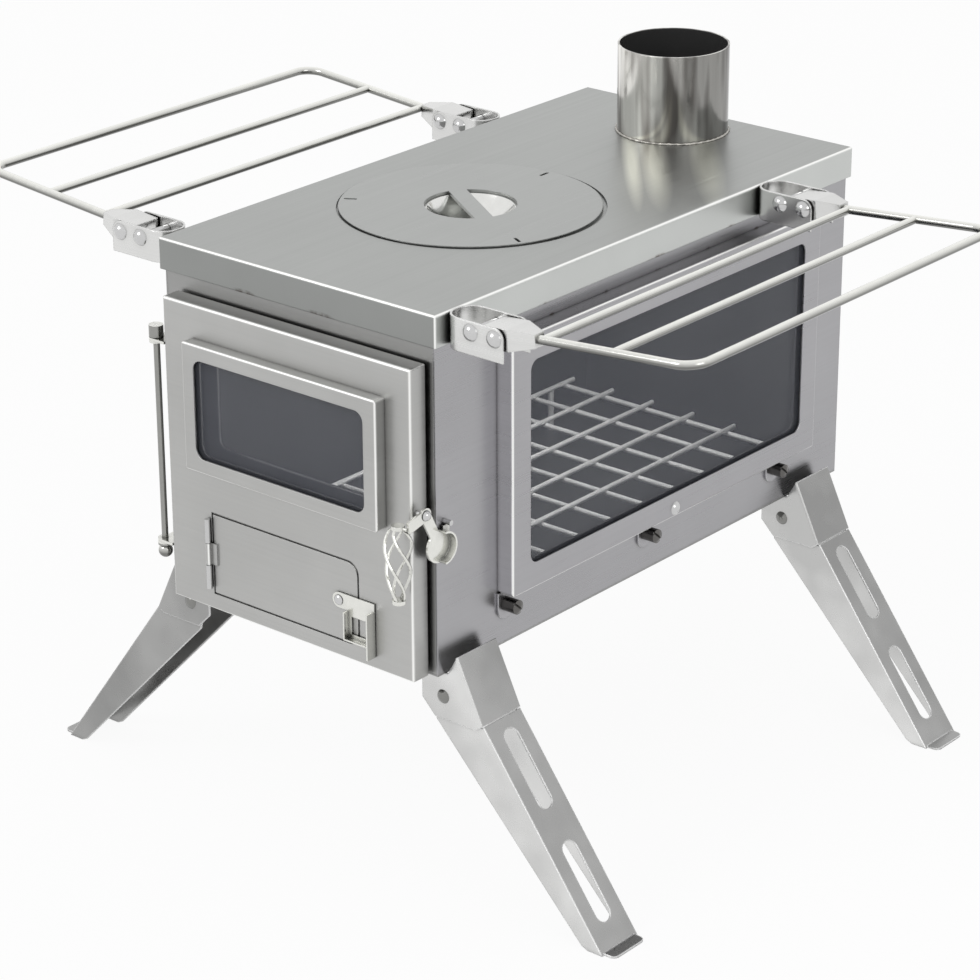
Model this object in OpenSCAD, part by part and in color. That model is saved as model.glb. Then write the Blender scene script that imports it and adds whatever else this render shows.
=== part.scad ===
// Camping wood stove with folding legs, folding side shelves, a window in the door and one in the
// right side. The origin is on the ground under the middle of the whole outline, the door faces -Y.

/* [Firebox] */
// Outer width of the firebox
body_w = 260; // [240:1:290]
// Outer length of the firebox, front to back
body_l = 497; // [460:1:560]
// Height of the firebox walls
body_h = 275; // [262:1:310]
// Thickness of the stainless steel sheet
sheet = 1.5; // [1:0.1:2]
// Rounding of the cut-outs in the firebox panels
cutout_r = 8; // [4:1:14]

/* [Top plate] */
// Overhang of the top plate beyond the firebox walls
top_overhang = 3.5; // [3:0.5:6]
// Height of the folded flange round the top plate
flange_h = 24.3; // [22:0.1:30]
// Rounding of the upright corners of the top plate
top_corner_r = 2; // [1:0.5:4]
// Rounding of the folded edges of the top plate and the door
fold_r = 2.5; // [2:0.1:3]
// Outer diameter of the flue collar
flue_d = 89; // [80:1:100]
// Wall of the flue collar
flue_wall = 1.5; // [1:0.1:2.5]
// Height of the flue collar above the top plate
flue_h = 71; // [40:1:100]
// Distance of the flue collar's axis from the firebox's back edge
flue_back = 48.5; // [48:0.5:60]
// Distance of the flue collar's axis to the left of the firebox's middle
flue_x = 5.5; // [0:0.5:12]
// Leg of the weld bead round the flue collar
weld_leg = 2; // [1.5:0.5:2.5]

/* [Hob lid] */
// Diameter of the hob lid
hob_d = 198.5; // [180:0.5:202]
// Distance of the hob hole's middle in front of the firebox's middle
hob_y = 51; // [30:1:66]
// Distance of the hob hole's middle to the left of the firebox's middle
hob_x = 3.4; // [0:0.1:8]
// How far the loose lid lies to the left in its hole
lid_shift = 1.1; // [0.1:0.1:1.2]
// Thickness of the hob lid
hob_t = 2.5; // [2:0.5:5]
// Gap between the lid and the hole in the top plate
hob_gap = 2.2; // [1.8:0.1:3]
// Width of the seat ring under the lid, and of its weld flange beyond the hole
hob_seat_w = 12; // [8:1:14]
// Radius of the finger dish at the lid
dish_r = 35; // [30:1:42]
// Depth of the finger dish
dish_h = 18; // [14:1:20]
// Width of the lifting bar across the dish
bar_w = 14; // [10:1:18]
// Angle of the lifting bar from the stove's width
bar_angle = -33; // [-60:1:60]
// Length of the three narrow slots near the lid's rim
lid_slot_l = 10; // [6:0.5:11]
// Width of the narrow slots near the lid's rim
lid_slot_w = 2.5; // [2:0.1:4]
// Distance of a slot's outer end from the lid's rim
lid_slot_rim = 3; // [2.5:0.5:4]

/* [Side window] */
// Distance of the raised side window frame from the firebox's front edge
side_frame_front = 66.5; // [60:0.5:80]
// Distance of the raised side window frame from the firebox's back edge
side_frame_back = 53.5; // [50:0.5:70]
// Distance of the raised side window frame from the firebox walls' upper edge
side_frame_top = 35; // [33:0.5:44]
// How far the side window frame stands out
side_frame_depth = 15; // [13:0.5:18]
// Border of the side window frame round the glass
side_border = 20; // [16:1:26]
// Height of the side frame's lower edge above the firebox bottom
side_frame_z = 42.5; // [38:0.5:44]

/* [Window frames and glass] */
// Rounding of the folded edges of both window frames
frame_fold_r = 2; // [1.8:0.1:2.8]
// Thickness of the ceramic glass
glass_t = 4; // [3:0.5:5]
// Thickness of the gasket tape in front of the glass
tape_t = 1.5; // [1:0.1:2]
// Overlap of the glass behind the frame's border
glass_lap = 6; // [4:0.5:8]

/* [Door] */
// Distance of the door's left edge from the firebox's left edge
door_gap_left = 14; // [13:0.5:18]
// Distance of the door's right edge from the firebox's right edge
door_gap_right = 6.5; // [6:0.5:10]
// Distance of the door's upper edge from the firebox walls' upper edge
door_gap_top = 36; // [32:1:42]
// Depth of the door panel's folded edge
door_depth = 16; // [15:0.5:18]
// Thickness of the pressed rope gasket between door and firebox
rope_t = 3; // [2:0.5:5]
// Width of the rope gasket
rope_w = 6.5; // [5:0.5:8]
// Inset of the rope gasket and the door opening from the door's outline
rope_inset = 3; // [2.5:0.5:5]
// Distance of the raised door window frame from the door's left edge
door_frame_left = 28; // [22:0.5:34]
// Distance of the door window frame from the door's right edge
door_frame_right = 23.5; // [20:0.5:30]
// Distance of the door window frame from the door's upper edge
door_frame_top = 25.4; // [20:0.1:30]
// How far the door window frame stands out
door_frame_depth = 10.5; // [10:0.5:13]
// Border of the door window frame round the glass
door_border = 11.5; // [9:0.5:14]
// Height of the door window's lower edge above the door's lower edge
door_frame_z = 113.6; // [109:0.1:117]

/* [Air damper] */
// Height of the damper flap
flap_h = 63; // [50:1:68]
// Distance of the flap's left edge from the door's left edge
flap_x = 44; // [36:1:46]
// Distance of the flap's right edge from the door's right edge
flap_right = 52.5; // [46:0.5:58]
// Height of the flap's lower edge above the door's lower edge
flap_z = 14.6; // [13:0.1:19]
// Gap between the flap and its hole in the door panel
flap_gap = 1.5; // [1:0.1:2]
// Rounding of the flap's free corners
flap_r = 10; // [5:1:14]
// Diameter of the damper's hinge pin
flap_pin_d = 2.4; // [2:0.1:3]
// Length of the damper's hinge
flap_hinge_h = 54; // [40:1:56]

/* [Hinge and latch] */
// Distance of the hinge rod's axis from the door's left edge
rod_gap = 13; // [11:0.5:14]
// Diameter of the door's hinge rod
rod_d = 5; // [4:0.5:6]
// Height of the lower hinge ears above the door's lower edge
ear_z = 38; // [30:1:44]
// Depth of the upper hinge ears below the door's upper edge
ear_top = 40; // [34:1:46]
// Thickness of a hinge ear
ear_t = 2; // [1.5:0.1:3]
// Height of the latch pivot above the door's lower edge
latch_z = 131; // [123:1:141]
// Diameter of the latch pivot pin and of the keeper pin
latch_pin_d = 4; // [3:0.5:5]
// Length of the latch plate behind its pivot
latch_arm = 27; // [25:1:30]
// Thickness of the latch plate
latch_t = 2; // [1.5:0.1:2.5]
// Length of the wire handle below the latch pivot
handle_l = 60; // [55:1:80]
// Diameter of the handle's wire
handle_d = 2.5; // [2:0.1:3]

/* [Legs] */
// Lean of a leg from upright
leg_splay = 36.6; // [32:0.1:42]
// Height of the leg pivots above the ground
pivot_h = 162; // [140:1:200]
// Depth of the leg pivots below the firebox bottom
pivot_drop = 19.4; // [19:0.1:26]
// Distance of the leg pivots inside the firebox's right and left edges
pivot_inset = 2.6; // [1:0.1:6]
// Distance of the front bracket's front face from the firebox's front
front_leg_y = 8.5; // [6:0.5:13]
// Distance of the rear bracket's back face from the firebox's back
rear_leg_y = 24.5; // [21:0.5:31]
// Outer width of a leg bracket
bracket_w = 45; // [40:1:55]
// Distance of the leg's web from the pivot
web_off = 20.7; // [18:0.1:22]
// Reach of the foot lip beyond the web
foot_lip = 9.5; // [7:0.5:14]
// Rounding of the folded edges of the leg brackets
bracket_fold_r = 2.2; // [1.8:0.1:3]
// Diameter of a leg rivet's shank
leg_pin_d = 6; // [5:0.5:8]

/* [Side shelves] */
// Distance of the shelf hinge from the top plate's edge
shelf_hinge_x = 46.5; // [44:0.5:52]
// Depth of the shelf hinge below the top plate
shelf_hinge_z = 8; // [7:0.5:9]
// Distance between the two rivets of a shelf bracket
shelf_rivet_pitch = 20.8; // [19:0.1:22]
// Rise of an unfolded shelf towards its outer rail
shelf_rise = 4.8; // [2:0.1:6]
// Distance of the outer rail from the hinge
shelf_reach = 158.5; // [140:0.5:162]
// Distance of the middle rail from the hinge
shelf_mid = 91.3; // [80:0.1:100]
// Diameter of the shelf's frame wire
shelf_wire_d = 6.5; // [5:0.5:8]
// Diameter of the shelf's cross rails
shelf_rail_d = 6; // [4:0.5:7.5]
// Bend radius of the frame wire at the outer corners
shelf_bend_r = 16; // [12:1:24]
// Distance of the front arms' middle from the firebox's front edge
shelf_front = 18.5; // [17:0.5:33]
// Distance of the rear arms' middle from the firebox's back edge
shelf_back = 116.5; // [111:0.5:141]
// Outer width of a shelf bracket
shelf_bracket_w = 30; // [26:1:34]
// Diameter of a shelf rivet's shank
shelf_pin_d = 6; // [5:0.5:7]

/* [Grate] */
// Diameter of the grate's wires
grate_d = 4; // [3:0.5:5]
// Height of the grate above the firebox floor
grate_h = 36; // [25:1:45]
// Distance of the outer long wires from the firebox's edge
grate_side = 25; // [20:0.5:30]
// Distance of the rear cross wire from the firebox's back edge
grate_back = 58.5; // [50:0.5:64]
// Distance of the front cross wire from the firebox's front edge
grate_front = 38.5; // [34:0.5:60]
// Number of long wires
grate_long = 6; // [4:2:6]
// Number of cross wires
grate_cross = 11; // [7:2:11]

/* [Hidden] */
// Running clearance round a hinge pin
fit = 0.05;
// Gap between moving sheet parts that don't touch
play = 0.4;
// Overrun of every cut
cut = 1;

half_w = body_w / 2;
half_l = body_l / 2;
body_z = pivot_h + pivot_drop;
floor_z = body_z + sheet;
wall_top = body_z + body_h;
top_z = wall_top + sheet;
top_half_w = half_w + top_overhang;
top_half_l = half_l + top_overhang;
flue_y = half_l - flue_back;

door_back = -half_l - rope_t;
door_front = door_back - door_depth;
door_left = door_gap_left - half_w;
door_right = half_w - door_gap_right;
door_w = door_right - door_left;
door_x = (door_left + door_right) / 2;
door_z = body_z;
door_h = body_h - door_gap_top;
seal_w = rope_inset + rope_w + rope_w / 2;

side_frame_w = body_l - side_frame_front - side_frame_back;
side_frame_h = body_h - side_frame_z - side_frame_top;
side_frame_y = (side_frame_front - side_frame_back) / 2;
side_mid_z = body_z + side_frame_z + side_frame_h / 2;
door_frame_w = door_w - door_frame_left - door_frame_right;
door_frame_h = door_h - door_frame_z - door_frame_top;
door_frame_x = door_x + (door_frame_left - door_frame_right) / 2;
door_frame_mid_z = door_z + door_frame_z + door_frame_h / 2;
flap_w = door_w - flap_x - flap_right;
flap_left = door_left + flap_x;
flap_mid_z = door_z + flap_z + flap_h / 2;
rod_x = door_left - rod_gap;
ear_rim = 3;
ear_r = rod_d / 2 + ear_rim;
rod_y = door_front + ear_r;
shelf_hinge = top_half_w + shelf_hinge_x;
shelf_front_y = half_l - shelf_front;
shelf_rear_y = half_l - shelf_back;
shelf_z = top_z - shelf_hinge_z;
pivot_x = half_w - pivot_inset;
front_leg_mid = -half_l + front_leg_y + bracket_w / 2;
rear_leg_mid = half_l - rear_leg_y - bracket_w / 2;

// Flat rounded rectangle about the origin
module rounded(w, h, r) {
    square([w - 2 * r, h], center = true);
    square([w, h - 2 * r], center = true);
    for (x = [-1, 1], y = [-1, 1])
        translate([x * (w / 2 - r), y * (h / 2 - r)]) circle(r = r, $fn = 32);
}

// Plate with a rounded outline, standing on the ground plane of its own frame
module plate(w, h, t, r) {
    linear_extrude(t) rounded(w, h, r);
}

// Solid with upright corners of radius corner_r, its upper edges rounded by edge_r
module folded(w, h, t, corner_r, edge_r) {
    intersection() {
        plate(w, h, t, corner_r);
        across(h) bent(w, t, edge_r);
        rotate([0, 0, 90]) across(w) bent(h, t, edge_r);
    }
}

// Section of width w and height t, with both upper corners rounded
module bent(w, t, r) {
    translate([-w / 2, 0]) square([w, t - r]);
    translate([r - w / 2, 0]) square([w - 2 * r, t]);
    for (side = [-1, 1]) translate([side * (w / 2 - r), t - r]) circle(r = r, $fn = 32);
}

// Flat ring between two rounded rectangles
module ring_plate(w, h, border, t, r) {
    difference() {
        plate(w, h, t, r);
        translate([0, 0, -cut]) plate(w - 2 * border, h - 2 * border, t + 2 * cut, r);
    }
}

// Straight round bar from p to q
module rod(p, q, d) {
    v = q - p;
    len = norm(v);
    translate(p) rotate([0, acos(v[2] / len), atan2(v[1], v[0])]) cylinder(h = len, d = d, $fn = 32);
}

// Outline in the XZ plane, thickened along Y about the middle
module across(w) {
    rotate([90, 0, 0]) linear_extrude(w, center = true) children();
}

// Shape seen from the right side, facing +X
module facing_right() {
    rotate([90, 0, 90]) children();
}

// Shape seen from the front, facing -Y
module facing_front() {
    rotate([90, 0, 0]) children();
}

// Upright box between two corners
module block(a, b) {
    translate(a) cube(b - a);
}

// Domed rivet head of diameter d and height h, on the XY plane
module dome(d, h) {
    r = (d * d / 4 + h * h) / (2 * h);
    intersection() {
        translate([0, 0, h - r]) sphere(r = r, $fn = 48);
        cylinder(h = h, d = d, $fn = 32);
    }
}

// Moves a piece from the firebox's middle to the middle of the outline
module stand() {
    translate([0, origin_shift, 0]) children();
}

// Firebox panels

module bottom_panel() {
    color("gainsboro") stand()
    block([-half_w, -half_l, body_z], [half_w, half_l, floor_z]);
}

module left_panel() {
    color("gainsboro") stand()
    block([-half_w, -half_l, floor_z], [-half_w + sheet, half_l, wall_top]);
}

side_hole_w = side_frame_w - side_border;
side_hole_h = side_frame_h - side_border;

module right_panel() {
    color("gainsboro") stand()
    difference() {
        block([half_w - sheet, -half_l, floor_z], [half_w, half_l, wall_top]);
        translate([half_w - sheet - cut, side_frame_y, side_mid_z]) facing_right()
            plate(side_hole_w, side_hole_h, sheet + 2 * cut, cutout_r);
    }
}

module back_panel() {
    color("gainsboro") stand()
    block([-half_w + sheet, half_l - sheet, floor_z], [half_w - sheet, half_l, wall_top]);
}

opening_w = door_w - 2 * seal_w;
opening_h = door_h - 2 * seal_w;
opening_mid_z = door_z + door_h / 2;

module front_panel() {
    color("gainsboro") stand()
    difference() {
        block([-half_w + sheet, -half_l, floor_z], [half_w - sheet, -half_l + sheet, wall_top]);
        translate([door_x, -half_l + sheet + cut, opening_mid_z]) facing_front()
            plate(opening_w, opening_h, sheet + 2 * cut, cutout_r);
    }
}

// Top plate, hob and flue

lid_slot_turn = 92;

module top_plate() {
    color("silver") stand()
    difference() {
        translate([0, 0, top_z - flange_h])
            folded(2 * top_half_w, 2 * top_half_l, flange_h, top_corner_r, fold_r);
        translate([0, 0, top_z - flange_h - cut])
            folded(2 * (top_half_w - sheet), 2 * (top_half_l - sheet), flange_h - sheet + cut,
                top_corner_r / 2, fold_r - sheet);
        translate([-hob_x, -hob_y, wall_top - cut])
            cylinder(h = sheet + 2 * cut, d = hob_d + 2 * hob_gap, $fn = 96);
        translate([-flue_x, flue_y, wall_top - cut])
            cylinder(h = sheet + 2 * cut, d = flue_d, $fn = 96);
    }
}

module hob_seat() {
    color("silver") stand()
    translate([-hob_x, -hob_y, wall_top - sheet]) difference() {
        cylinder(h = sheet, r = hob_d / 2 + hob_seat_w / 2, $fn = 96);
        translate([0, 0, -cut]) cylinder(h = sheet + 2 * cut, r = hob_d / 2 - hob_seat_w, $fn = 96);
    }
}

module flue_collar() {
    color("lightsteelblue") stand()
    translate([-flue_x, flue_y, wall_top]) difference() {
        cylinder(h = sheet + flue_h, d = flue_d, $fn = 96);
        translate([0, 0, -cut]) cylinder(h = sheet + flue_h + 2 * cut, d = flue_d - 2 * flue_wall, $fn = 96);
    }
}

module flue_weld() {
    color("gainsboro") stand()
    translate([-flue_x, flue_y, top_z]) rotate_extrude($fn = 96)
        polygon([[flue_d / 2, 0], [flue_d / 2 + weld_leg, 0], [flue_d / 2, weld_leg]]);
}

module at_lid() {
    translate([-hob_x - lid_shift, -hob_y, wall_top]) children();
}

module hob_lid() {
    color("silver") stand() at_lid() difference() {
        cylinder(h = hob_t, d = hob_d, $fn = 96);
        for (turn = [0, 1, 2]) rotate([0, 0, lid_slot_turn + turn * 120])
            translate([hob_d / 2 - lid_slot_rim - lid_slot_l / 2, 0, -cut])
                plate(lid_slot_l, lid_slot_w, hob_t + 2 * cut, lid_slot_w / 3);
        for (side = [0, 180]) rotate([0, 0, bar_angle + side]) translate([0, 0, -cut])
            intersection() {
                cylinder(h = hob_t + 2 * cut, r = dish_r, $fn = 64);
                translate([-dish_r, bar_w / 2, 0]) cube([2 * dish_r, dish_r, hob_t + 2 * cut]);
            }
    }
}

// Finger dish: a shallow spherical bowl with a weld rim, under the lid's two cut-outs
module hob_dish() {
    bowl_r = (dish_r * dish_r + dish_h * dish_h) / (2 * dish_h);
    rim_w = hob_seat_w / 2;
    color("whitesmoke") stand() at_lid() rotate_extrude($fn = 64) {
        intersection() {
            difference() {
                translate([0, bowl_r - dish_h]) circle(r = bowl_r, $fn = 96);
                translate([0, bowl_r - dish_h]) circle(r = bowl_r - sheet, $fn = 96);
            }
            translate([0, -dish_h]) square([dish_r, dish_h]);
        }
        translate([dish_r - sheet, -sheet]) square([rim_w, sheet]);
    }
}

// Window frames, shared by the door and the side: all stand out along +Z of their own frame

module window_frame(w, h, depth, border) {
    difference() {
        folded(w, h, depth, 2 * sheet, frame_fold_r);
        translate([0, 0, -cut])
            folded(w - 2 * sheet, h - 2 * sheet, depth - sheet + cut, sheet, frame_fold_r - sheet);
        translate([0, 0, -cut]) plate(w - 2 * border, h - 2 * border, depth + 2 * cut, cutout_r);
    }
}

module window_gasket(w, h, depth, border) {
    translate([0, 0, depth - sheet - tape_t]) difference() {
        plate(w - 2 * border + 2 * glass_lap, h - 2 * border + 2 * glass_lap, tape_t, sheet);
        translate([0, 0, -cut])
            plate(w - 2 * border + sheet, h - 2 * border + sheet, tape_t + 2 * cut, cutout_r);
    }
}

module window_glass(w, h, depth, border) {
    translate([0, 0, depth - sheet - tape_t - glass_t])
        plate(w - 2 * border + 2 * glass_lap, h - 2 * border + 2 * glass_lap, glass_t, sheet);
}

module window_retainer(w, h, depth, border) {
    translate([0, 0, depth - sheet - tape_t - glass_t - sheet]) difference() {
        plate(w - 2 * sheet, h - 2 * sheet, sheet, sheet);
        translate([0, 0, -cut]) plate(w - 2 * border, h - 2 * border, sheet + 2 * cut, cutout_r);
    }
}

// Side window

module at_side_window() {
    translate([half_w, side_frame_y, side_mid_z]) facing_right() children();
}

module side_window_frame() {
    color("gainsboro") stand() at_side_window()
        window_frame(side_frame_w, side_frame_h, side_frame_depth, side_border);
}

module side_window_glass() {
    color("dimgray") stand() at_side_window()
        window_glass(side_frame_w, side_frame_h, side_frame_depth, side_border);
}

module side_window_gasket() {
    color("darkslategray") stand() at_side_window()
        window_gasket(side_frame_w, side_frame_h, side_frame_depth, side_border);
}

module side_window_retainer() {
    color("gray") stand() at_side_window()
        window_retainer(side_frame_w, side_frame_h, side_frame_depth, side_border);
}

clip_w = 17;
clip_h = 22;
clip_t = 2;
clip_front = 7.5;
clip_pitch = 166;
screw_d = 11;
screw_l = 11.5;
screw_drop = 10;
screw_slot_w = 1.6;

// Places the shapes at each of the three lugs that hold the frame's lower edge to the wall
module at_clips() {
    for (k = [0, 1, 2])
        translate([half_w, side_frame_y - side_frame_w / 2 + clip_front + k * clip_pitch,
            side_mid_z - side_frame_h / 2]) children();
}

// Flat lug with a rounded lower end
module side_window_clips() {
    color("silver") stand() at_clips() facing_right() linear_extrude(clip_t) {
        translate([-clip_w / 2, clip_w / 2 - clip_h]) square([clip_w, clip_h - clip_w / 2]);
        translate([0, clip_w / 2 - clip_h]) circle(d = clip_w, $fn = 48);
    }
}

// Long round screw with a domed, slotted end
module side_window_screws() {
    color("dimgray") stand() at_clips() translate([clip_t, 0, -screw_drop]) rotate([0, 90, 0])
        difference() {
            union() {
                cylinder(h = screw_l, d = screw_d, $fn = 32);
                translate([0, 0, screw_l]) dome(screw_d - 2 * play, screw_slot_w);
            }
            translate([0, 0, screw_l + screw_slot_w / 2]) rotate([0, 0, 45])
                cube([2 * screw_d, screw_slot_w, 2 * screw_slot_w], center = true);
        }
}

button_d = 11;
button_h = 3;

module side_window_button() {
    color("silver") stand() at_side_window()
        translate([button_d / 2, -side_frame_h / 2 + button_d / 2 + sheet, side_frame_depth])
            dome(button_d, button_h);
}

// Fire grate: cross wires under the long wires, each pressed a little into the long wires

grate_sink = grate_d / 5;
grate_foot_share = 1.25;
grate_pitch_x = (body_w - 2 * grate_side) / (grate_long - 1);
grate_pitch_y = (body_l - grate_front - grate_back) / (grate_cross - 1);
grate_l = (grate_cross - 1) * grate_pitch_y + grate_pitch_y / 2;
grate_w = (grate_long - 1) * grate_pitch_x + grate_pitch_x / 4;
grate_z = floor_z + grate_h;

module at_grate() {
    translate([0, (grate_front - grate_back) / 2, grate_z]) children();
}

module cross_wires() {
    low_z = grate_sink - grate_d;
    for (j = [0 : grate_cross - 1]) {
        y = (j - (grate_cross - 1) / 2) * grate_pitch_y;
        rod([-grate_w / 2, y, low_z], [grate_w / 2, y, low_z], grate_d);
    }
}

module grate_cross_wires() {
    color("slategray") stand() at_grate() cross_wires();
}

module grate_long_wires() {
    color("slategray") stand() at_grate() difference() {
        for (i = [0 : grate_long - 1]) {
            x = (i - (grate_long - 1) / 2) * grate_pitch_x;
            rod([x, -grate_l / 2, 0], [x, grate_l / 2, 0], grate_d);
        }
        cross_wires();
    }
}

// Feet welded under the outer long wires, in the spaces between cross wires
module grate_feet() {
    color("slategray") stand() at_grate() for (i = [-1, 1], j = [-1, 1])
        translate([i * (grate_long - 1) / 2 * grate_pitch_x,
            j * (grate_cross - 2) / 2 * grate_pitch_y, -grate_h])
            cylinder(h = grate_h - grate_d / 2, d = grate_foot_share * grate_d, $fn = 24);
}

// Door

module at_door_window() {
    translate([door_frame_x, door_front, door_frame_mid_z]) facing_front() children();
}

module at_damper() {
    translate([flap_left + flap_w / 2, door_front, flap_mid_z]) facing_front() children();
}

seat_lap = 8;
air_w = flap_w - 2 * seat_lap;
air_h = flap_h - 2 * seat_lap;

module door_panel() {
    color("gainsboro") stand()
    difference() {
        translate([door_x, door_back, opening_mid_z]) facing_front() difference() {
            folded(door_w, door_h, door_depth, sheet, fold_r);
            translate([0, 0, -cut])
                folded(door_w - 2 * sheet, door_h - 2 * sheet, door_depth - sheet + cut, sheet / 2,
                    fold_r - sheet);
        }
        at_door_window() translate([0, 0, -sheet - cut])
            plate(door_frame_w - door_border, door_frame_h - door_border, sheet + 2 * cut, cutout_r);
        at_damper() translate([0, 0, -sheet - cut]) {
            plate(flap_w + 2 * flap_gap, flap_h + 2 * flap_gap, sheet + 2 * cut, flap_r);
            block([-flap_w / 2 - flap_gap, -flap_h / 2 - flap_gap, 0],
                [0, flap_h / 2 + flap_gap, sheet + 2 * cut]);
        }
    }
}

module door_liner() {
    color("gray") stand()
    difference() {
        translate([door_x, door_back, opening_mid_z]) facing_front()
            plate(door_w - 2 * sheet, door_h - 2 * sheet, sheet, sheet / 2);
        translate([door_frame_x, door_back + cut, door_frame_mid_z]) facing_front()
            plate(door_frame_w - 2 * door_border, door_frame_h - 2 * door_border, sheet + 2 * cut, cutout_r);
        translate([flap_left + flap_w / 2, door_back + cut, flap_mid_z]) facing_front()
            plate(air_w, air_h, sheet + 2 * cut, cutout_r);
    }
}

module door_rope() {
    color("black") stand()
    translate([door_x, -half_l, opening_mid_z]) facing_front()
        ring_plate(door_w - 2 * rope_inset, door_h - 2 * rope_inset, rope_w, rope_t, rope_w / 2);
}

module door_window_frame() {
    color("gainsboro") stand() at_door_window()
        window_frame(door_frame_w, door_frame_h, door_frame_depth, door_border);
}

module door_window_glass() {
    color("dimgray") stand() at_door_window()
        window_glass(door_frame_w, door_frame_h, door_frame_depth, door_border);
}

module door_window_gasket() {
    color("darkslategray") stand() at_door_window()
        window_gasket(door_frame_w, door_frame_h, door_frame_depth, door_border);
}

module door_window_retainer() {
    color("gray") stand() at_door_window()
        window_retainer(door_frame_w, door_frame_h, door_frame_depth, door_border);
}

// Air damper

knuckle_wall = 1;
knuckle_d = flap_pin_d + 2 * knuckle_wall;
flap_axis_x = flap_left - knuckle_d + knuckle_wall;
flap_axis_y = door_front - knuckle_d / 2 - play;
knuckle_h = flap_hinge_h / 3;
leaf_w = 4;

module damper_seat() {
    color("gray") stand() at_damper() translate([0, 0, -2 * sheet])
        ring_plate(flap_w + 2 * seat_lap, flap_h + 2 * seat_lap, 2 * seat_lap, sheet, cutout_r / 2);
}

module at_flap_pin() {
    translate([flap_axis_x, flap_axis_y, flap_mid_z]) children();
}

module damper_knuckles() {
    color("silver") stand() at_flap_pin() for (end = [-1, 1])
        translate([0, 0, end * knuckle_h - knuckle_h / 2]) difference() {
            union() {
                cylinder(h = knuckle_h, d = knuckle_d, $fn = 32);
                block([-knuckle_d / 2, 0, 0], [0, knuckle_d / 2 + play, knuckle_h]);
            }
            translate([0, 0, -cut]) cylinder(h = knuckle_h + 2 * cut, d = flap_pin_d, $fn = 32);
        }
}

module damper_pin() {
    color("silver") stand() at_flap_pin() {
        translate([0, 0, -flap_hinge_h / 2]) cylinder(h = flap_hinge_h, d = flap_pin_d, $fn = 32);
        for (end = [0, 1]) mirror([0, 0, end]) translate([0, 0, flap_hinge_h / 2])
            cylinder(h = knuckle_wall, d = knuckle_d, $fn = 32);
    }
}

module damper_flap() {
    leaf_h = knuckle_h - 2 * play;
    bore = flap_pin_d + 2 * fit;
    color("gainsboro") stand() difference() {
        union() {
            at_damper() translate([0, 0, -sheet]) linear_extrude(sheet) union() {
                rounded(flap_w, flap_h, flap_r);
                translate([-flap_w / 2, -flap_h / 2]) square([flap_w / 2, flap_h]);
            }
            at_flap_pin() translate([0, 0, -leaf_h / 2]) {
                cylinder(h = leaf_h, d = knuckle_d, $fn = 32);
                block([0, knuckle_d / 2 - knuckle_wall, 0],
                    [flap_left - flap_axis_x + leaf_w, knuckle_d / 2, leaf_h]);
                block([flap_left - flap_axis_x + play, knuckle_d / 2 - knuckle_wall, 0],
                    [flap_left - flap_axis_x + leaf_w, knuckle_d / 2 + play, leaf_h]);
            }
        }
        at_flap_pin() translate([0, 0, -knuckle_h]) cylinder(h = 2 * knuckle_h, d = bore, $fn = 32);
        at_latch_rivet() translate([0, 0, -sheet - cut])
            cylinder(h = sheet + 2 * cut, d = turn_pin_d, $fn = 32);
    }
}

// Turn latch on the flap, with a windowed thumb tab
turn_pin_d = 4;
turn_inset = 17;
turn_r = 6;
turn_l = 34;
turn_t = 1.2;
tab_x = 8;
tab_h = 28;
tab_border = 4;
tab_lip = 9;
tab_rim = 6;
lip_drop = 8;

module at_latch_rivet() {
    at_damper() translate([flap_w / 2 - turn_inset, 0, 0]) children();
}

module damper_latch() {
    color("silver") stand() at_latch_rivet() translate([0, 0, play]) difference() {
        union() {
            linear_extrude(turn_t) difference() {
                union() {
                    circle(r = turn_r, $fn = 32);
                    translate([0, -turn_r]) square([turn_l, 2 * turn_r]);
                    translate([tab_x, -tab_h]) square([turn_l - tab_x, tab_h]);
                }
                translate([tab_x + tab_border, -tab_h + tab_border])
                    square([turn_l - tab_x - 2 * tab_border, tab_h - turn_r - 2 * tab_border]);
            }
            translate([turn_l - turn_t, -tab_h - lip_drop, 0])
                cube([turn_t, tab_h + lip_drop, tab_lip]);
            translate([tab_x, -tab_h, 0]) cube([turn_l - tab_x, turn_t, tab_rim]);
            translate([tab_x, -tab_h, 0]) cube([turn_t, tab_h - turn_r, tab_rim]);
        }
        translate([0, 0, -cut]) cylinder(h = turn_t + 2 * cut, d = turn_pin_d + 2 * fit, $fn = 32);
    }
}

module damper_rivet() {
    color("silver") stand() at_latch_rivet() {
        translate([0, 0, -sheet]) cylinder(h = sheet + turn_t + 2 * play, d = turn_pin_d, $fn = 32);
        translate([0, 0, turn_t + 2 * play]) dome(2 * turn_pin_d, turn_pin_d / 2);
    }
}

// Door hinge

ear_z0 = door_z + ear_z;
ear_pitch = door_h - ear_z - ear_top;
head_d = 11;
head_h = 9;
washer_t = 1.5;
ball_d = 11;

module hinge_ears_body() {
    color("silver") stand() for (k = [0, 1]) translate([rod_x, rod_y, ear_z0 + k * ear_pitch])
        linear_extrude(ear_t) difference() {
            union() {
                circle(r = ear_r, $fn = 32);
                translate([-ear_r, 0]) square([2 * ear_r, -half_l - rod_y]);
            }
            circle(d = rod_d, $fn = 32);
        }
}

module hinge_ears_door() {
    color("silver") stand() for (k = [0, 1]) translate([rod_x, rod_y, ear_z0 + ear_t + k * ear_pitch])
        linear_extrude(ear_t) difference() {
            union() {
                circle(r = ear_r, $fn = 32);
                translate([0, -ear_r]) square([door_left - rod_x, 2 * ear_r]);
            }
            circle(d = rod_d + 2 * fit, $fn = 32);
        }
}

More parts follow.
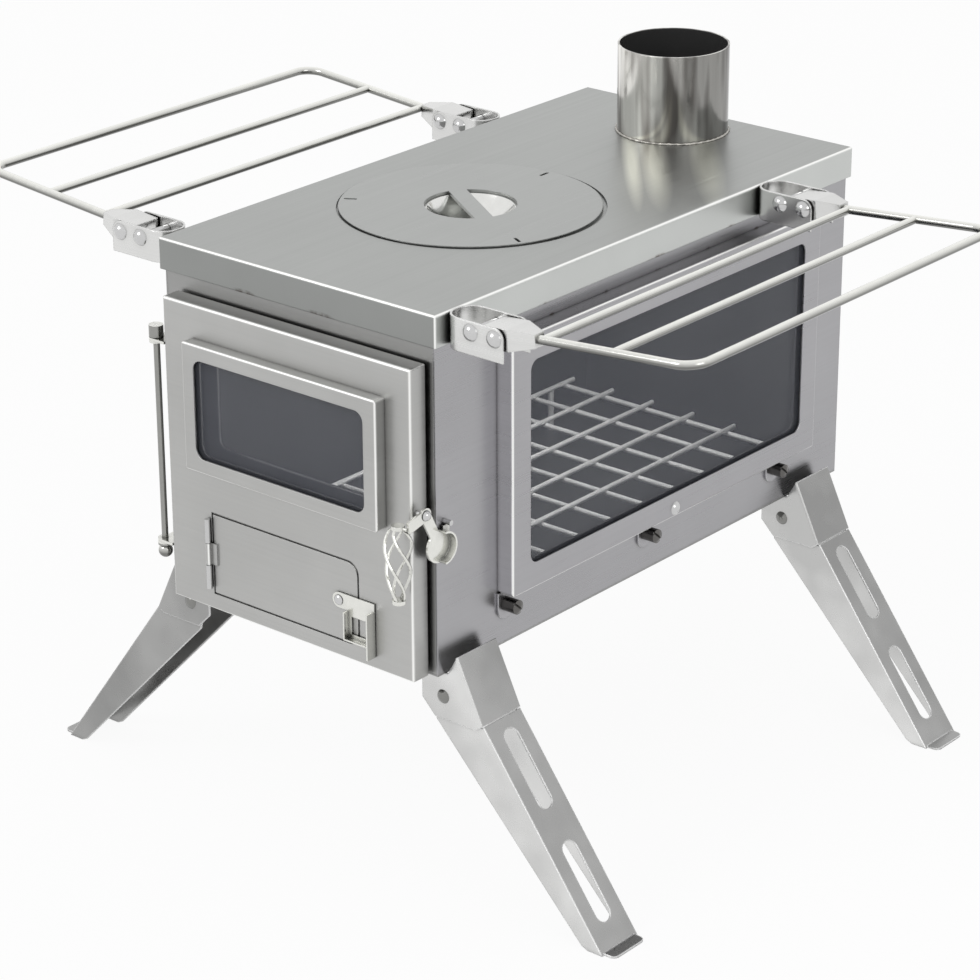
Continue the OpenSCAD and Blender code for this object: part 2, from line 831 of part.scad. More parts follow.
module hinge_rod() {
    top = ear_pitch + 2 * ear_t + play;
    color("silver") stand() translate([rod_x, rod_y, ear_z0]) {
        translate([0, 0, -washer_t]) cylinder(h = top + washer_t, d = rod_d, $fn = 32);
        translate([0, 0, top]) cylinder(h = head_h, d = head_d, $fn = 32);
        translate([0, 0, -washer_t]) cylinder(h = washer_t, d = head_d, $fn = 32);
        translate([0, 0, -washer_t - ball_d / 2 + play]) sphere(d = ball_d, $fn = 32);
    }
}

// Door latch: a plate that bears up under the keeper pin, and a caged wire handle

latch_x = half_w + play;
latch_y = door_front + ear_r;
latch_pivot_z = door_z + latch_z;
keeper_y = 21.5;
keeper_z = -11.4;
keeper_l = 7;
latch_head = 3;
latch_r = 5.5;
link_r = 4.5;
latch_nose_r = 12.5;
latch_nose_drop = 28;
horn_w = 7;
cup_wall = 1.5;
cup_depth = 6;
tongue_y = -18;
tongue_z = -4;

module at_latch() {
    translate([latch_x, latch_y, latch_pivot_z]) children();
}

module latch_pivot() {
    color("silver") stand() translate([door_right, latch_y, latch_pivot_z]) rotate([0, 90, 0]) {
        cylinder(h = latch_x + latch_t + play - door_right, d = latch_pin_d, $fn = 32);
        translate([0, 0, latch_x + latch_t + play - door_right]) dome(2 * latch_pin_d, latch_head);
    }
}

module keeper_pin() {
    color("silver") stand() translate([half_w, latch_y + keeper_y, latch_pivot_z + keeper_z])
        rotate([0, 90, 0]) cylinder(h = keeper_l, d = latch_pin_d, $fn = 32);
}

// Flat bar of half width w and thickness t between two points of its own plane
module link(p, q, w, t) {
    v = (q - p) / norm(q - p) * w;
    side = [v[1], -v[0]];
    linear_extrude(t) polygon([p + side, q + side, q - side, p - side]);
}

module latch_plate() {
    top = keeper_z - latch_pin_d / 2 - play / 2;
    nose = [latch_arm - latch_nose_r - play, -latch_nose_drop];
    color("silver") stand() at_latch() rotate([90, 0, 90]) difference() {
        union() {
            cylinder(h = latch_t, r = latch_r, $fn = 32);
            link([0, 0], nose, link_r, latch_t);
            link([0, 0], [tongue_y, tongue_z], link_r, latch_t);
            translate(nose) cylinder(h = latch_t, r = latch_nose_r, $fn = 32);
            block([keeper_y - horn_w / 2, nose[1], 0], [keeper_y + horn_w / 2, top, latch_t]);
            translate(nose) difference() {
                cylinder(h = latch_t + cup_depth, r = latch_nose_r, $fn = 32);
                cylinder(h = latch_t + cup_depth + cut, r = latch_nose_r - cup_wall, $fn = 32);
                translate([-2 * latch_nose_r, -latch_nose_r - cut, 0])
                    cube([2 * latch_nose_r, 2 * (latch_nose_r + cut), latch_t + cup_depth + cut]);
            }
        }
        translate([0, 0, -cut]) cylinder(h = latch_t + 2 * cut, d = latch_pin_d + 2 * fit, $fn = 32);
    }
}

// Basket handle: strands of wire that bulge and twist round an upright axis between two end discs
cage_strands = 4;
cage_twist = 200;
cage_rings = 16;
cage_sides = 6;
cage_r = 10;
cage_end_r = 3;
disc_r = 5;
disc_t = 3;
bulge_share = 0.65;
round_share = 0.8;
handle_x = -8.5;

// How far the handle stands in front of the firebox's middle, and the shift that centres the outline
reach_front = cage_r + handle_d / 2 * cos(180 / cage_sides) - latch_y - tongue_y;
origin_shift = (reach_front - top_half_l) / 2;

// Point of strand k at the share t of the handle's length, t = 0 at the top
function strand(k, t) = let (a = k * 360 / cage_strands + cage_twist * t,
    r = cage_end_r + (cage_r - cage_end_r) * pow(sin(180 * pow(t, bulge_share)), round_share))
    [r * cos(a), r * sin(a), -disc_t / 2 - t * (handle_l - disc_t)];

// Closed upright tube of diameter d, with a level ring at each point
module tube(points, d, sides) {
    n = len(points);
    rings = [for (p = points, j = [0 : sides - 1])
        p + d / 2 * [cos(360 * j / sides), sin(360 * j / sides), 0]];
    walls = [for (i = [0 : n - 2], j = [0 : sides - 1]) let (a = i * sides, k = (j + 1) % sides)
        [a + j, a + k, a + sides + k, a + sides + j]];
    ends = [[for (j = [sides - 1 : -1 : 0]) j], [for (j = [0 : sides - 1]) (n - 1) * sides + j]];
    polyhedron(rings, concat(walls, ends), convexity = 4);
}

module latch_handle() {
    color("silver") stand() at_latch() translate([0, tongue_y, tongue_z]) {
        translate([handle_x, 0, 0]) {
            for (k = [0 : cage_strands - 1])
                tube([for (i = [0 : cage_rings]) strand(k, i / cage_rings)], handle_d, cage_sides);
            translate([0, 0, -disc_t]) cylinder(h = disc_t, r = disc_r, $fn = 32);
            translate([0, 0, -handle_l]) cylinder(h = disc_t, r = disc_r, $fn = 32);
        }
        rod([handle_x, 0, -disc_t / 2], [0, 0, -disc_t / 2], handle_d);
    }
}

// Legs, drawn for the right side about the pivot: X outward, Z up

leg_w = bracket_w - 2 * sheet - 2 * play;
ear_in = 20;
ear_low = 18;
ear_bevel = 12;
cap_lean = 25.6;
cap_off = 26.6;
cap_up = 25.5;
cap_down = 27.9;
cap_side_gap = 2;
stop_gap = 5;
leg_top = cap_down + stop_gap;
eye_r = 14;
edge_top = 12;
edge_off = 19;
toe_off = 6.7;
slot_w = 15;
slot_l = 64;
slot_start = 42;
slot_pitch = 91;
pad_r = 5;
foot_inset = 2.6;
toe_cut = 3;

// Point at s along and n across a line that leans outward by the given angle
function lean(angle, s, n) = [s * sin(angle) + n * cos(angle), -s * cos(angle) + n * sin(angle)];

// Distance along the leg at which it meets the ground, for the offset n
function ground_s(n) = (pivot_h + n * sin(leg_splay)) / cos(leg_splay);

module leg_bracket() {
    cap_top = lean(cap_lean, -cap_up, cap_off);
    cap_bottom = lean(cap_lean, cap_down, cap_off);
    cap_top_in = lean(cap_lean, -cap_up, cap_off - sheet);
    cap_bottom_in = lean(cap_lean, cap_down, cap_off - sheet);
    wall = pivot_inset + cap_side_gap;
    difference() {
        intersection() {
            union() {
                across(bracket_w) polygon([cap_top, cap_bottom, cap_bottom_in, cap_top_in]);
                for (side = [-1, 1]) translate([0, side * (bracket_w - sheet) / 2, 0]) across(sheet)
                    polygon([[-ear_in, pivot_drop], [-ear_in, -ear_low + ear_bevel],
                        [-ear_in + ear_bevel, -ear_low], [cap_bottom[0] - ear_bevel / 2, -ear_low],
                        cap_bottom, cap_top, [wall, pivot_drop]]);
            }
            fold_prism();
        }
        rotate([90, 0, 0]) cylinder(h = bracket_w + 2 * cut, d = leg_pin_d, center = true, $fn = 32);
    }
}

// Space inside the bracket's rounded folds
module fold_prism() {
    rotate([0, -cap_lean, 0]) translate([-cap_off, 0, -leg_top]) linear_extrude(2 * leg_top)
        rounded(4 * cap_off, bracket_w, bracket_fold_r);
}

// Web and side walls of a leg
module leg_sheets() {
    across(leg_w) polygon([for (p = [[leg_top, web_off], [ground_s(web_off), web_off],
        [ground_s(web_off - sheet), web_off - sheet], [leg_top, web_off - sheet]])
        lean(leg_splay, p[0], p[1])]);
    for (side = [-1, 1]) translate([0, side * (leg_w - sheet) / 2, 0]) across(sheet) {
        circle(r = eye_r, $fn = 48);
        polygon([for (p = [[0, eye_r], [leg_top, web_off - 2 * sheet], [leg_top, web_off],
            [ground_s(web_off), web_off], [ground_s(toe_off + toe_cut), toe_off + toe_cut],
            [ground_s(toe_off) - toe_cut, toe_off], [edge_top, -edge_off],
            [0, -eye_r]]) lean(leg_splay, p[0], p[1])]);
    }
}

module leg() {
    difference() {
        union() {
            leg_sheets();
            translate([lean(leg_splay, ground_s(web_off - sheet), web_off - sheet)[0], 0, -pivot_h])
                foot();
        }
        rotate([90, 0, 0])
            cylinder(h = bracket_w + 2 * cut, d = leg_pin_d + 2 * fit, center = true, $fn = 32);
        rotate([0, -leg_splay, 0]) for (k = [0, 1])
            translate([web_off - sheet - cut, 0, -slot_start - slot_l / 2 - k * slot_pitch]) rotate([0, 90, 0])
                plate(slot_l, slot_w, sheet + 2 * cut, slot_w / 2 - play);
    }
}

// Lip at the foot of the web, bent out level on the ground, with rounded corners
module foot() {
    foot_l = sheet / cos(leg_splay) + foot_lip;
    foot_w = leg_w - 2 * foot_inset;
    linear_extrude(sheet) union() {
        translate([0, -foot_w / 2]) square([foot_l - pad_r, foot_w]);
        translate([0, pad_r - foot_w / 2]) square([foot_l, foot_w - 2 * pad_r]);
        for (side = [-1, 1]) translate([foot_l - pad_r, side * (foot_w / 2 - pad_r)])
            circle(r = pad_r, $fn = 32);
    }
}

module at_leg(right, y) {
    mirror([right ? 0 : 1, 0, 0]) translate([pivot_x, y, pivot_h]) children();
}

module leg_bracket_front_right() { color("gainsboro") stand() at_leg(true, front_leg_mid) leg_bracket(); }
module leg_bracket_front_left() { color("gainsboro") stand() at_leg(false, front_leg_mid) leg_bracket(); }
module leg_bracket_rear_right() { color("gainsboro") stand() at_leg(true, rear_leg_mid) leg_bracket(); }
module leg_bracket_rear_left() { color("gainsboro") stand() at_leg(false, rear_leg_mid) leg_bracket(); }
module leg_front_right() { color("lightgray") stand() at_leg(true, front_leg_mid) leg(); }
module leg_front_left() { color("lightgray") stand() at_leg(false, front_leg_mid) leg(); }
module leg_rear_right() { color("lightgray") stand() at_leg(true, rear_leg_mid) leg(); }
module leg_rear_left() { color("lightgray") stand() at_leg(false, rear_leg_mid) leg(); }

leg_head_d = 11;
leg_head_h = 3;

module leg_rivets() {
    color("silver") stand() for (right = [true, false], y = [front_leg_mid, rear_leg_mid])
        at_leg(right, y) through_rivet(bracket_w, leg_pin_d, leg_head_d, leg_head_h);
}

// Rivet along Y through a bracket of width w, with a domed head at each end
module through_rivet(w, d, head, h) {
    rotate([90, 0, 0]) cylinder(h = w, d = d, center = true, $fn = 32);
    for (side = [-1, 1]) translate([0, side * w / 2, 0]) rotate([side * -90, 0, 0]) dome(head, h);
}

// Side shelves, drawn for the right side about the hinge: X outward, Z up

shelf_ear_r = 8;
shelf_sheet = 2;
arm_gap = 1.25;
arm_w = shelf_bracket_w - 2 * sheet - 2 * arm_gap;
arm_h = 16;
arm_up = 7.5;
arm_taper = 10;
nose_w = 10;
nose_h = 10;
nose_up = 4.5;
nose_flat = 0.5;
arm_in = 29;
arm_out = 28;
tail_end = 12;
shelf_head_d = 13;
shelf_head_h = 4;

// Strap bent round into a U, its nose flattened on the side of the top plate
module shelf_bracket() {
    ear_l = shelf_hinge_x + shelf_ear_r;
    bend_r = shelf_bracket_w / 2;
    bend_x = bend_r - nose_flat;
    difference() {
        translate([-shelf_hinge_x, 0, shelf_hinge_z - flange_h]) union() {
            difference() {
                translate([bend_x, 0, 0]) cylinder(h = flange_h, r = bend_r, $fn = 64);
                translate([bend_x, 0, -cut]) cylinder(h = flange_h + 2 * cut, r = bend_r - sheet, $fn = 64);
                block([bend_x, -bend_r - cut, -cut],
                    [bend_x + bend_r + cut, bend_r + cut, flange_h + cut]);
                block([-nose_flat - cut, -bend_r, -cut], [0, bend_r, flange_h + cut]);
            }
            for (side = [-1, 1]) translate([0, side * (shelf_bracket_w - sheet) / 2, 0]) across(sheet) {
                translate([bend_x, 0]) square([ear_l - shelf_ear_r - bend_x, flange_h]);
                translate([bend_x, 0]) square([ear_l - bend_x, flange_h - shelf_ear_r]);
                translate([ear_l - shelf_ear_r, flange_h - shelf_ear_r]) circle(r = shelf_ear_r, $fn = 32);
            }
        }
        for (x = [0, -shelf_rivet_pitch]) translate([x, 0, 0]) rotate([90, 0, 0])
            cylinder(h = shelf_bracket_w + 2 * cut, d = shelf_pin_d, center = true, $fn = 32);
    }
}

// Wedge-nosed block of the folded arm, with its walls drawn in by t
module arm_body(t) {
    nose = arm_out - t;
    intersection() {
        translate([0, 0, -arm_h]) linear_extrude(2 * arm_h)
            polygon([[-arm_in - t, t - arm_w / 2], [arm_taper, t - arm_w / 2], [nose, t - nose_w / 2],
                [nose, nose_w / 2 - t], [arm_taper, arm_w / 2 - t], [-arm_in - t, arm_w / 2 - t]]);
        across(arm_w) polygon([[-arm_in - t, arm_up - arm_h - t], [arm_taper, arm_up - arm_h - t],
            [nose, nose_up - nose_h - t], [nose, nose_up - t], [arm_taper, arm_up - t],
            [-arm_in - t, arm_up - t]]);
    }
}

// Folded arm: a channel open below, whose tail is cut down to run under the inner rivet
module shelf_arm() {
    tail_top = shelf_rivet_pitch * sin(shelf_rise) - shelf_pin_d / 2 - play / 2;
    rotate([0, -shelf_rise, 0]) difference() {
        arm_body(0);
        arm_body(shelf_sheet);
        block([-arm_in - cut, -arm_w / 2 - cut, tail_top], [-tail_end, arm_w / 2 + cut, arm_up + cut]);
        rotate([90, 0, 0])
            cylinder(h = arm_w + 2 * cut, d = shelf_pin_d + 2 * fit, center = true, $fn = 32);
    }
}

module shelf_frame() {
    rail_x = arm_out + play + shelf_rail_d / 2;
    bend_x = shelf_reach - shelf_bend_r;
    rotate([0, -shelf_rise, 0]) {
        for (y = [-shelf_front_y, shelf_rear_y]) rod([arm_out, y, 0], [bend_x, y, 0], shelf_wire_d);
        rod([shelf_reach, shelf_bend_r - shelf_front_y, 0],
            [shelf_reach, shelf_rear_y - shelf_bend_r, 0], shelf_wire_d);
        translate([bend_x, shelf_rear_y - shelf_bend_r, 0]) bend();
        translate([bend_x, shelf_bend_r - shelf_front_y, 0]) mirror([0, 1, 0]) bend();
        for (x = [rail_x, shelf_mid]) rod([x, -shelf_front_y, 0], [x, shelf_rear_y, 0], shelf_rail_d);
    }
}

module bend() {
    rotate_extrude(angle = 90, $fn = 64) translate([shelf_bend_r, 0]) circle(d = shelf_wire_d, $fn = 32);
}

module at_shelf(right) {
    mirror([right ? 0 : 1, 0, 0]) translate([shelf_hinge, 0, shelf_z]) children();
}

module at_arms(right) {
    for (y = [-shelf_front_y, shelf_rear_y]) at_shelf(right) translate([0, y, 0]) children();
}

module shelf_brackets_right() { color("silver") stand() at_arms(true) shelf_bracket(); }
module shelf_brackets_left() { color("silver") stand() at_arms(false) shelf_bracket(); }
module shelf_frame_right() { color("silver") stand() at_shelf(true) shelf_frame(); }
module shelf_frame_left() { color("silver") stand() at_shelf(false) shelf_frame(); }
module shelf_arms_right() { color("lightgray") stand() at_arms(true) shelf_arm(); }
module shelf_arms_left() { color("lightgray") stand() at_arms(false) shelf_arm(); }

module shelf_rivets() {
    color("whitesmoke") stand() for (right = [true, false], x = [0, -shelf_rivet_pitch]) at_arms(right)
        translate([x, 0, 0]) through_rivet(shelf_bracket_w, shelf_pin_d, shelf_head_d, shelf_head_h);
}

bottom_panel();
left_panel();
right_panel();
back_panel();
front_panel();
top_plate();
hob_seat();
flue_collar();
flue_weld();
side_window_frame();
side_window_glass();
side_window_gasket();
side_window_retainer();
side_window_clips();
side_window_screws();
side_window_button();
grate_long_wires();
grate_cross_wires();
grate_feet();
hob_lid();
hob_dish();
door_panel();
door_liner();
door_rope();
door_window_frame();
door_window_glass();
door_window_gasket();
door_window_retainer();
damper_seat();
damper_knuckles();
damper_pin();
damper_flap();
damper_latch();
damper_rivet();
hinge_ears_body();
hinge_ears_door();
hinge_rod();
latch_pivot();
latch_plate();
latch_handle();
keeper_pin();
leg_bracket_front_right();
leg_bracket_front_left();
leg_bracket_rear_right();
leg_bracket_rear_left();
leg_front_right();
leg_front_left();
leg_rear_right();
leg_rear_left();
leg_rivets();
shelf_brackets_right();
shelf_brackets_left();
shelf_rivets();
shelf_frame_right();
shelf_frame_left();
shelf_arms_right();
shelf_arms_left();
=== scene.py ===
import math
import bpy
import bmesh
from mathutils import Matrix, Vector


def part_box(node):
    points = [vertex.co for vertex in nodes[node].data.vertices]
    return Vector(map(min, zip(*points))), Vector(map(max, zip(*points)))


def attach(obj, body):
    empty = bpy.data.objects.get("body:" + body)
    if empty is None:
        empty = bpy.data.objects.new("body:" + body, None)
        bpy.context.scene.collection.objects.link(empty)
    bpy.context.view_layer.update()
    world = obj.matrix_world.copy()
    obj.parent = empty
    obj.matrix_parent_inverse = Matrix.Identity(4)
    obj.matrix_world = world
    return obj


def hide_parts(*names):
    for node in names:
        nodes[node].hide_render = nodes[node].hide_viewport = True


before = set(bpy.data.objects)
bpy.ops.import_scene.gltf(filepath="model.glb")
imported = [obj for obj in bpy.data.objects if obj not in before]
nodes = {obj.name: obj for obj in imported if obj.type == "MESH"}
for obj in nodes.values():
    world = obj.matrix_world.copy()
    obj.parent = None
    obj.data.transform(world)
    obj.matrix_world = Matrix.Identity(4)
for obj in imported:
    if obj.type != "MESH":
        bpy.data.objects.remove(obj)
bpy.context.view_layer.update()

# Places in the frame, in metres
SHIFT = 0.0195413                  # middle of the firebox, front to back
TOP = 0.4579                       # upper face of the top plate
FLUE_X, FLUE_Y = -0.0055, 0.2195   # axis of the flue collar
FIREBOX = (0, 0.0195, 0.32)        # a point inside the firebox

# Camera at the photograph's angle
AZ, EL, ROLL = math.radians(40.038), math.radians(22.96), math.radians(-0.222)
DISTANCE, OFFSET_RIGHT, OFFSET_UP = 2.581737, -0.0217116, -0.2276546
FOCAL_PIXELS, PHOTO_PIXELS, SENSOR = 3405.098, 980, 36

back = Vector((math.sin(AZ) * math.cos(EL), -math.cos(AZ) * math.cos(EL), math.sin(EL)))
level_right = Vector((math.cos(AZ), math.sin(AZ), 0))
level_up = back.cross(level_right)
right = math.cos(ROLL) * level_right + math.sin(ROLL) * level_up
up = math.cos(ROLL) * level_up - math.sin(ROLL) * level_right
eye = back * DISTANCE + right * OFFSET_RIGHT + up * OFFSET_UP + Vector((0, SHIFT, TOP))

cam = bpy.data.objects.new("camera", bpy.data.cameras.new("camera"))
cam.data.sensor_width = SENSOR
cam.data.lens = FOCAL_PIXELS / PHOTO_PIXELS * SENSOR
cam.data.clip_end = 50
cam.matrix_world = Matrix(((right.x, up.x, back.x, eye.x),
                           (right.y, up.y, back.y, eye.y),
                           (right.z, up.z, back.z, eye.z),
                           (0, 0, 0, 1)))
bpy.context.scene.collection.objects.link(cam)
bpy.context.scene.camera = cam
bpy.context.scene.view_settings.view_transform = "Standard"


# Node helpers. Each returns an output socket, unless it says otherwise.
def new_material(name):
    """Returns a new material, its node tree and its Principled shader."""
    m = bpy.data.materials.new(name)
    m.use_nodes = True
    nt = m.node_tree
    nt.nodes.clear()
    out = nt.nodes.new("ShaderNodeOutputMaterial")
    bsdf = nt.nodes.new("ShaderNodeBsdfPrincipled")
    nt.links.new(bsdf.outputs[0], out.inputs[0])
    return m, nt, bsdf


def put(nt, value, socket):
    """Links value to the socket when it is a socket too, and otherwise sets the socket to it. Returns nothing."""
    if isinstance(value, bpy.types.NodeSocket):
        nt.links.new(value, socket)
    else:
        socket.default_value = value


def add(nt, kind, **inputs):
    """Returns a new node with those inputs set. An underscore stands for a space."""
    n = nt.nodes.new(kind)
    for k, v in inputs.items():
        n.inputs[k.replace("_", " ")].default_value = v
    return n


def coords(nt, scale):
    tc = nt.nodes.new("ShaderNodeTexCoord")
    mp = nt.nodes.new("ShaderNodeMapping")
    mp.inputs["Scale"].default_value = scale
    nt.links.new(tc.outputs["Object"], mp.inputs["Vector"])
    return mp.outputs[0]


def separate(nt, vector):
    """Returns the x, y and z outputs of the vector."""
    n = nt.nodes.new("ShaderNodeSeparateXYZ")
    nt.links.new(vector, n.inputs[0])
    return n.outputs


def noise(nt, vec, scale, detail=3.0, rough=0.5):
    n = add(nt, "ShaderNodeTexNoise", Scale=scale, Detail=detail, Roughness=rough)
    nt.links.new(vec, n.inputs["Vector"])
    return n.outputs["Fac"]


def remap(nt, fac, lo, hi, a=0.0, b=1.0):
    """lo where fac is a or less, and hi where it is b or more."""
    n = add(nt, "ShaderNodeMapRange", From_Min=a, From_Max=b, To_Min=lo, To_Max=hi)
    nt.links.new(fac, n.inputs["Value"])
    return n.outputs[0]


def mix_color(nt, fac, a, b, mode="MIX"):
    n = nt.nodes.new("ShaderNodeMix")
    n.data_type = "RGBA"
    n.blend_type = mode
    put(nt, fac, n.inputs[0])
    put(nt, a, n.inputs[6])
    put(nt, b, n.inputs[7])
    return n.outputs[2]


def times(nt, a, b):
    """Colour a multiplied by colour or value b."""
    return mix_color(nt, 1.0, a, b, "MULTIPLY")


def math_node(nt, op, a, b=0.0, clamp=False):
    n = nt.nodes.new("ShaderNodeMath")
    n.operation = op
    n.use_clamp = clamp
    put(nt, a, n.inputs[0])
    put(nt, b, n.inputs[1])
    return n.outputs[0]


def blobs(nt, marks):
    """1 in the middle of each ellipsoid of marks and 0 outside. A mark is (x, y, z, size x, size y, size z) in
    metres, and optionally its turn about Z."""
    tc = nt.nodes.new("ShaderNodeTexCoord")
    total = None
    for x, y, z, sx, sy, sz, *turn in marks:
        mp = nt.nodes.new("ShaderNodeMapping")
        mp.vector_type = "TEXTURE"
        mp.inputs["Location"].default_value = (x, y, z)
        mp.inputs["Scale"].default_value = (sx, sy, sz)
        mp.inputs["Rotation"].default_value = (0, 0, turn[0] if turn else 0)
        nt.links.new(tc.outputs["Object"], mp.inputs["Vector"])
        ln = nt.nodes.new("ShaderNodeVectorMath")
        ln.operation = "LENGTH"
        nt.links.new(mp.outputs[0], ln.inputs[0])
        blob = remap(nt, ln.outputs["Value"], 1, 0, 0.3, 1.0)
        total = blob if total is None else math_node(nt, "MAXIMUM", total, blob)
    return total


def background_rays(nt):
    """1 for camera, glossy and transmission rays, which see the white background, and 0 for all others."""
    lp = nt.nodes.new("ShaderNodeLightPath")
    seen = math_node(nt, "ADD", lp.outputs["Is Camera Ray"], lp.outputs["Is Glossy Ray"])
    return math_node(nt, "ADD", seen, lp.outputs["Is Transmission Ray"], True)


# Materials
EVEN = (1, 1, 1)                        # the same grain in every direction
MIDDLE = (0.3, 0.7)                     # the part of a noise that is spread over the whole range
CLOUD_SCALE, CLOUD_DEPTH = 9.0, 2.2
SPECK_SCALE = 260.0
BUMP_DEPTH = 0.0002
MARK_TONE = (0.10, 0.08, 0.07, 1)       # heat mark
PAINTED_DARK_REFLECTION = (0.30, 0.285, 0.28, 1)      # painted reflection of a dark band on a polished tube
# colour of painted bright reflections
PAINTED_BRIGHT_REFLECTION = (0.72, 0.73, 0.66, 1)
# painted shade on faces inside the firebox and the flue
INSIDE_SHADE_TONE = (0.06, 0.06, 0.06, 1)
INSIDE_SHADE_DULL = 0.6                         # how much less metallic the painted shade inside is


def steel(name, color, rough, grain=(3, 3, 500), grain_amount=0.03, cloud=0.04, bevel=0.0012, bump=0.1,
          marks=(), crevice_shade=0.55, reach=0.004, inside=None, right_painted_light=1.0, front_painted_light=1.0, up_painted_light=1.0,
          dark_reflection_pitch=0, fold_highlight=0.0, edge_highlight=0.0, bright_reflections=()):
    """Brushed sheet or wire: fine stretched grain, cloudy tone, softened edges and painted shade in crevices.

    marks are heat marks and bright_reflections is streaks of painted reflection, both as blobs() takes them. Faces
    turned towards the point inside, or the upright axis (x, y, None), get painted shade: darker and less metallic.
    right_painted_light, front_painted_light and up_painted_light multiply the colour of faces to the right, to the
    front and upwards, as painted light and shade. dark_reflection_pitch is the pitch of wide upright bands of painted
    dark reflection. fold_highlight is the brightness of a painted highlight on bends between straight faces, and
    edge_highlight that on sharp edges."""
    m, nt, bsdf = new_material(name)
    fine = noise(nt, coords(nt, grain), 1.0, 4, 0.6)
    slow = noise(nt, coords(nt, EVEN), CLOUD_SCALE, 3, 0.55)

    # Clouds and grain
    cloudy = (*[c * (1 - CLOUD_DEPTH * cloud) for c in color], 1)
    tone = mix_color(nt, remap(nt, slow, 0, 1, 0.35, 0.68), cloudy, (*color, 1))
    scratch = (1 - 2 * grain_amount,) * 3 + (1,)
    tone = mix_color(nt, remap(nt, fine, 0, 1, *MIDDLE), times(nt, tone, scratch), tone)

    # Heat marks, and painted reflection: dark bands and bright streaks
    if marks:
        speck = remap(nt, noise(nt, coords(nt, EVEN), SPECK_SCALE, 3), 0.25, 1, 0.4, 0.6)
        tone = mix_color(nt, math_node(nt, "MULTIPLY", blobs(nt, marks), speck), tone, MARK_TONE)
    if dark_reflection_pitch:
        wide = noise(nt, coords(nt, (dark_reflection_pitch, dark_reflection_pitch, dark_reflection_pitch / 8)), 1.0, 2)
        tone = mix_color(nt, remap(nt, wide, 0, 1, 0.42, 0.58), times(nt, tone, PAINTED_DARK_REFLECTION), tone)
    if bright_reflections:
        tone = mix_color(nt, blobs(nt, bright_reflections), tone, PAINTED_BRIGHT_REFLECTION)

    # Painted shade in crevices: the colour is darkened where ambient occlusion finds surfaces nearby
    ao = nt.nodes.new("ShaderNodeAmbientOcclusion")
    ao.samples = 4
    ao.inputs["Distance"].default_value = reach
    tone = times(nt, tone, remap(nt, ao.outputs["AO"], 1 - crevice_shade, 1, 0.25, 0.85))

    # Painted light and shade that follow the way a face is turned
    tc = nt.nodes.new("ShaderNodeTexCoord")
    turned = separate(nt, tc.outputs["Normal"])
    if right_painted_light != 1.0:
        tone = times(nt, tone, remap(nt, turned[0], 1.0, right_painted_light, 0.3, 0.8))
    if front_painted_light != 1.0:
        tone = times(nt, tone, remap(nt, turned[1], front_painted_light, 1.0, -0.8, -0.3))
    if up_painted_light != 1.0:
        geo = nt.nodes.new("ShaderNodeNewGeometry")
        upwards = separate(nt, geo.outputs["Normal"])[2]
        tone = times(nt, tone, remap(nt, upwards, 1 / up_painted_light, up_painted_light, -0.2, 0.95))
    # Painted highlight on bends between straight faces
    if fold_highlight:
        largest = 0.0
        for k in range(3):
            largest = math_node(nt, "MAXIMUM", largest, math_node(nt, "ABSOLUTE", turned[k]))
        tone = mix_color(nt, remap(nt, largest, 1.0, 0.0, 0.76, 0.97), tone, (fold_highlight, fold_highlight, fold_highlight * 0.98, 1))

    # Painted shade on the inside: faces turned inwards are darker and less metallic
    if inside:
        place = separate(nt, tc.outputs["Object"])
        outward = 0.0
        for k in range(3):
            if inside[k] is not None:
                away = math_node(nt, "SUBTRACT", place[k], inside[k])
                outward = math_node(nt, "ADD", outward, math_node(nt, "MULTIPLY", away, turned[k]))
        inward = math_node(nt, "LESS_THAN", outward, -0.01)
        tone = mix_color(nt, inward, tone, INSIDE_SHADE_TONE)
        metal = math_node(nt, "SUBTRACT", 1.0, math_node(nt, "MULTIPLY", inward, INSIDE_SHADE_DULL))
        nt.links.new(metal, bsdf.inputs["Metallic"])
    else:
        bsdf.inputs["Metallic"].default_value = 1.0

    # Roughness and relief
    streaky = remap(nt, fine, rough - 0.04, rough + 0.05, *MIDDLE)
    patchy = remap(nt, slow, -0.03, 0.04, *MIDDLE)
    nt.links.new(math_node(nt, "ADD", streaky, patchy), bsdf.inputs["Roughness"])
    bp = add(nt, "ShaderNodeBump", Strength=bump, Distance=BUMP_DEPTH)
    nt.links.new(fine, bp.inputs["Height"])
    if bevel:
        bv = nt.nodes.new("ShaderNodeBevel")
        bv.samples = 4
        bv.inputs["Radius"].default_value = bevel
        nt.links.new(bv.outputs[0], bp.inputs["Normal"])
    # Painted highlight on sharp edges
    if edge_highlight:
        geo = nt.nodes.new("ShaderNodeNewGeometry")
        flat = nt.nodes.new("ShaderNodeVectorMath")
        flat.operation = "DOT_PRODUCT"
        nt.links.new(bv.outputs[0], flat.inputs[0])
        nt.links.new(geo.outputs["True Normal"], flat.inputs[1])
        edge = remap(nt, flat.outputs["Value"], 1.0, 0.0, 0.75, 0.97)
        tone = mix_color(nt, edge, tone, (edge_highlight, edge_highlight, edge_highlight, 1))
    nt.links.new(bp.outputs[0], bsdf.inputs["Normal"])
    nt.links.new(tone, bsdf.inputs["Base Color"])
    return m


def fabric(name, color):
    """Woven glass fibre: dull, with fine fuzz."""
    m, nt, bsdf = new_material(name)
    fuzz = noise(nt, coords(nt, EVEN), 900.0, 3)
    low = (*[c * 0.6 for c in color], 1)
    nt.links.new(mix_color(nt, remap(nt, fuzz, 0, 1, *MIDDLE), low, (*color, 1)), bsdf.inputs["Base Color"])
    nt.links.new(remap(nt, fuzz, 0.8, 0.95), bsdf.inputs["Roughness"])
    bp = add(nt, "ShaderNodeBump", Strength=0.4, Distance=BUMP_DEPTH)
    nt.links.new(fuzz, bp.inputs["Height"])
    nt.links.new(bp.outputs[0], bsdf.inputs["Normal"])
    return m


